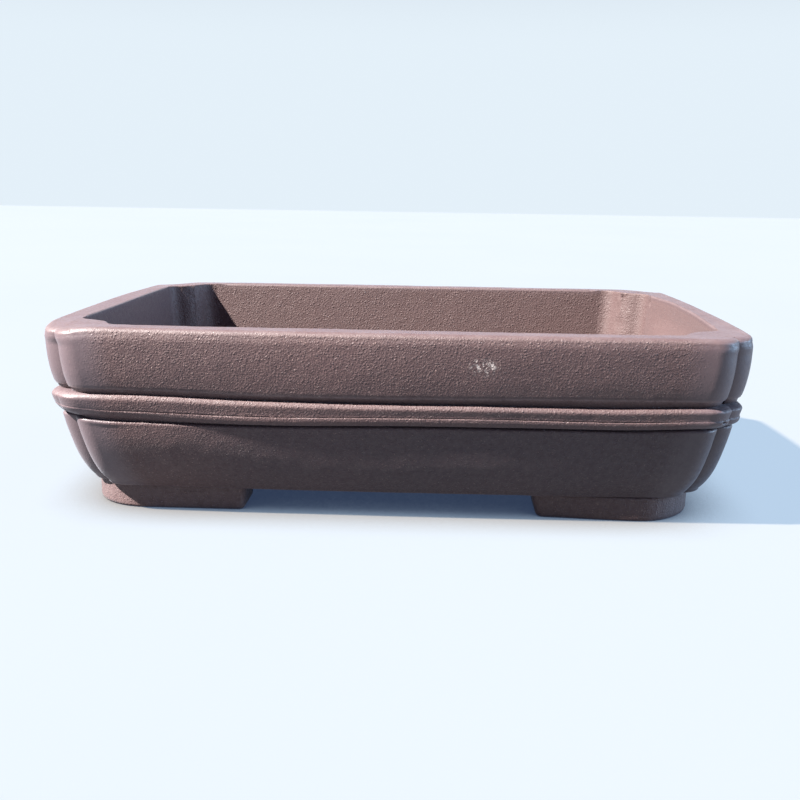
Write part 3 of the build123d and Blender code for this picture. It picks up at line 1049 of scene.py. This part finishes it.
def clay_relief(tree, where, light):
    """Height of the fine relief: sand grain, a coarser tooth, low lumps, pale grains and pores."""
    grit = tree.math("ADD", grains(tree, where, 1.1 * MM), tree.times(grains(tree, where, 0.7 * MM), 0.6))
    relief = tree.math("ADD", tree.times(tree.noise(where, 0.75 * MM, 3, 0.6), 0.6), tree.times(grit, 0.4))
    relief = tree.math("ADD", relief, tree.times(tree.noise(where, 5 * MM, 3, 0.5), 0.35))
    relief = tree.math("ADD", relief, tree.times(light, 0.1))
    pore, _ = specks(tree, where, 1.7 * MM, 0.08)
    return tree.math("SUBTRACT", relief, tree.times(pore, 0.3))


def stoneware():
    """Unglazed dark red-brown clay with fine sand in it, smoother and paler on the rim and smoother on the
    lobes, with painted sheen on the lobes and painted shade on the right end and the lower wall.
    """
    material = bpy.data.materials.new("stoneware")
    material.use_nodes = True
    tree = Nodes(material.node_tree)
    where = tree.add("ShaderNodeTexCoord").outputs["Object"]
    light, light_random = specks(tree, where, 0.75 * MM, 0.22)
    worked = tree.math("MAXIMUM", tree.field("rim"), tree.field("rub_and_sheen"))
    strength = tree.math("SUBTRACT", 0.95, tree.times(worked, 0.78))
    height = clay_relief(tree, where, light)
    bump = tree.add("ShaderNodeBump", {"Strength": strength, "Height": height, "Distance": RELIEF_DEPTH})
    rough_noise = tree.ramp(tree.noise(where, 2 * MM, 3), 0.3, 0.7, 0.56, 0.74)
    shader = tree.add("ShaderNodeBsdfPrincipled", {
        "Base Color": clay_colour(tree, where, light, light_random),
        "Roughness": tree.math("SUBTRACT", rough_noise, tree.times(worked, 0.15)),
        "Normal": bump.outputs["Normal"],
    })
    shader.inputs["Specular IOR Level"].default_value = 0.45
    shader.inputs["Sheen Weight"].default_value = 0.07
    shader.inputs["Sheen Roughness"].default_value = 0.4
    shader.inputs["Sheen Tint"].default_value = (0.78, 0.86, 1.0, 1)
    tree.finish("ShaderNodeOutputMaterial", shader)
    return material


# ===== studio =====

def floor_material():
    """Pale matt paper with a painted glow that stands in for a softly lit table. The glow is weaker where
    something stands close over it, painting shade under and around the pot.
    """
    material = bpy.data.materials.new("pale_floor")
    material.use_nodes = True
    tree = Nodes(material.node_tree)
    where = tree.add("ShaderNodeTexCoord").outputs["Object"]
    cloud = tree.noise(where, 0.5, 2)
    colour = tree.blend(cloud, (0.051, 0.042, 0.030, 1), (0.058, 0.048, 0.035, 1))
    # Painted shade: the floor's glow is dimmed under and around the pot by how much stands close over it.
    cover = tree.add("ShaderNodeAmbientOcclusion", samples=8)
    cover.inputs["Distance"].default_value = 0.038
    unshaded_share = tree.ramp(cover.outputs["AO"], 0.1, 0.85)
    painted_glow = tree.blend(unshaded_share, (0.026, 0.042, 0.085, 1), (0.47, 0.62, 0.80, 1))
    shader = tree.add("ShaderNodeBsdfPrincipled", {"Base Color": colour, "Emission Color": painted_glow})
    shader.inputs["Roughness"].default_value = 0.9
    shader.inputs["Emission Strength"].default_value = 1.0
    shader.inputs["Specular IOR Level"].default_value = 0.1
    tree.finish("ShaderNodeOutputMaterial", shader)
    return material


def make_floor_stage():
    reach = 6.0
    corners = [(x * reach, y * reach, 0) for x, y in ((-1, -1), (1, -1), (1, 1), (-1, 1))]
    mesh = new_mesh("studio_floor", corners, [(0, 1, 2, 3)])
    mesh.materials.append(floor_material())
    ground = new_object("studio_floor", mesh)


def make_world():
    """A pale horizon, dimmer on the near side, under a dim, bluish ceiling."""
    world = bpy.data.worlds.new("studio")
    bpy.context.scene.world = world
    world.use_nodes = True
    tree = Nodes(world.node_tree)
    direction = tree.add("ShaderNodeTexCoord").outputs["Generated"]
    axes = tree.add("ShaderNodeSeparateXYZ", {"Vector": direction})
    far_side = tree.ramp(axes.outputs["Y"], -0.5, 0.6)
    horizon = tree.blend(far_side, (0.38, 0.48, 0.68, 1), (0.82, 0.92, 1.0, 1))
    share = tree.ramp(axes.outputs["Z"], 0.12, 0.42)
    colour = tree.blend(share, horizon, (0.11, 0.13, 0.25, 1))
    background = tree.add("ShaderNodeBackground", {"Color": colour, "Strength": 0.95})
    tree.finish("ShaderNodeOutputWorld", background)


def make_sun(name, energy, angle, colour, to_light):
    """A distant light whose rays come from to_light. angle, in degrees, softens its shadows."""
    data = bpy.data.lights.new(name, "SUN")
    data.energy = energy
    data.angle = math.radians(angle)
    data.color = colour
    light = new_object(name, data)
    light.rotation_euler = to_light.to_track_quat("Z", "Y").to_euler()


def make_lights():
    # The key light stands far to the left and a little in front, at about 45 degrees.
    lift = math.radians(46.5)
    aside = math.radians(71)
    to_key = Vector((-math.cos(lift) * math.sin(aside), -math.cos(lift) * math.cos(aside), math.sin(lift)))
    make_sun("key", 28.0, 2.0, (1.0, 0.965, 0.92), to_key)
    # A broad, weak, bluish fill from the right opens the shadows at that end.
    make_sun("fill", 5.0, 40, (0.48, 0.70, 1.0), Vector((0.95, 0.05, 0.18)))


def make_camera():
    """In front of the pot, a little right of its middle, looking down by 11 degrees and slightly tilted."""
    spot = Vector((16.3, -543.1, 139.8)) * MM
    pan, tilt, roll = 0.0311, 0.1949, 0.0157
    forward = Vector((-math.sin(pan) * math.cos(tilt), math.cos(pan) * math.cos(tilt), -math.sin(tilt)))
    level_right = Vector((math.cos(pan), math.sin(pan), 0))
    level_up = level_right.cross(forward)
    right = level_right * math.cos(roll) + level_up * math.sin(roll)
    up = level_up * math.cos(roll) - level_right * math.sin(roll)
    data = bpy.data.cameras.new("camera")
    data.sensor_width = 36
    data.lens = 48.28
    data.clip_start = 0.01
    data.clip_end = 50
    camera = new_object("camera", data)
    axes = Matrix((right, up, -forward)).transposed().to_4x4()
    camera.matrix_world = Matrix.Translation(spot) @ axes
    bpy.context.scene.camera = camera


# ===== building it =====

pieces = [make_wall(side) for side in SIDES]
pieces += [make_band(side) for side in SIDES]
pieces += [make_corner_coil(corner) for corner in CORNERS]
pieces += [make_floor_coil(side) for side in SIDES]
pieces += [make_foot(corner) for corner in CORNERS]
pieces.append(make_floor())
clay = stoneware()
for piece in pieces:
    piece.data.materials.append(clay)

make_floor_stage()
make_world()
make_lights()
make_camera()
bpy.context.scene.view_settings.view_transform = "Standard"
